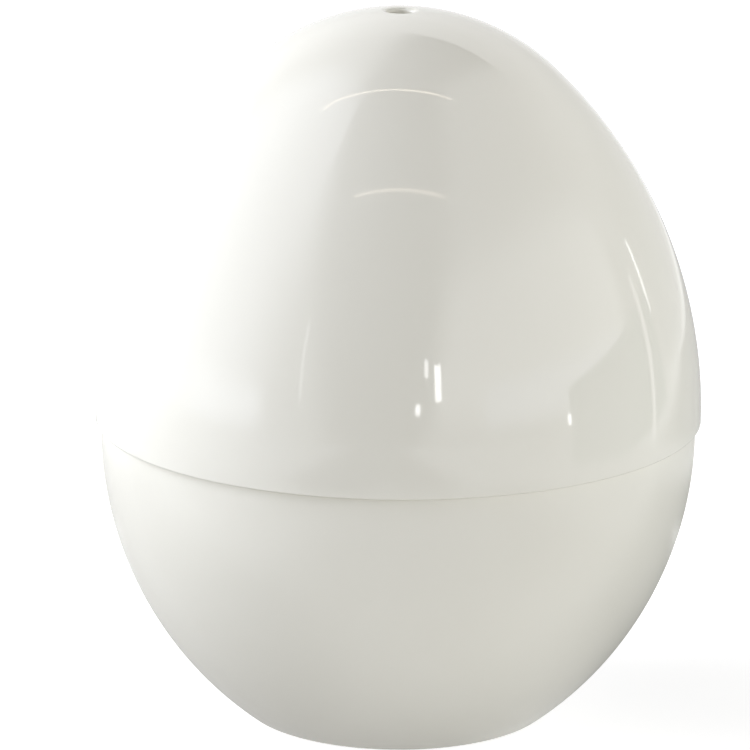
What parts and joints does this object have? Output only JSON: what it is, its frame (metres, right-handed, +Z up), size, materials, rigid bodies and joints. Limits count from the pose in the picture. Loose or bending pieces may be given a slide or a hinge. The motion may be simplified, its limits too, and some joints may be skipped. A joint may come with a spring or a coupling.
{
  "type": "microwave egg boiler",
  "caption": "Egg-shaped white casing in two halves: a base with an egg tray, and a lid with a steam vent and reflector that locks with a twist and lifts off.",
  "frame": {"origin": "middle of the foot, on the surface that the boiler stands on", "axes": "+Z up along the egg's own axis; the lid's first bayonet lug lies along +X"},
  "size_m": [0.14, 0.14, 0.1649],
  "materials": {
    "lid_plastic": "high gloss warm white",
    "base_plastic": "semi-gloss warm white",
    "ring_plastic": "satin white",
    "pressed_aluminium": "bright, lightly brushed",
    "spun_aluminium": "bright with fine spinning lines"
  },
  "bodies": {
    "base": {"base_shell": "base_plastic", "egg_tray": "pressed_aluminium"},
    "reflector": {"lid_reflector": "spun_aluminium"},
    "lid": {"lid_shell": "lid_plastic", "retaining_ring": "ring_plastic"}
  },
  "joints": [
    {"name": "lid_lift", "type": "slide", "parent": "base", "child": "reflector", "axis": [0, 0, 1], "range_m": [0, 0.12]},
    {"name": "lid_twist", "type": "hinge", "parent": "reflector", "child": "lid", "pos_m": [0, 0, 0.079], "axis": [0, 0, -1], "range_deg": [0, 30]}
  ]
}
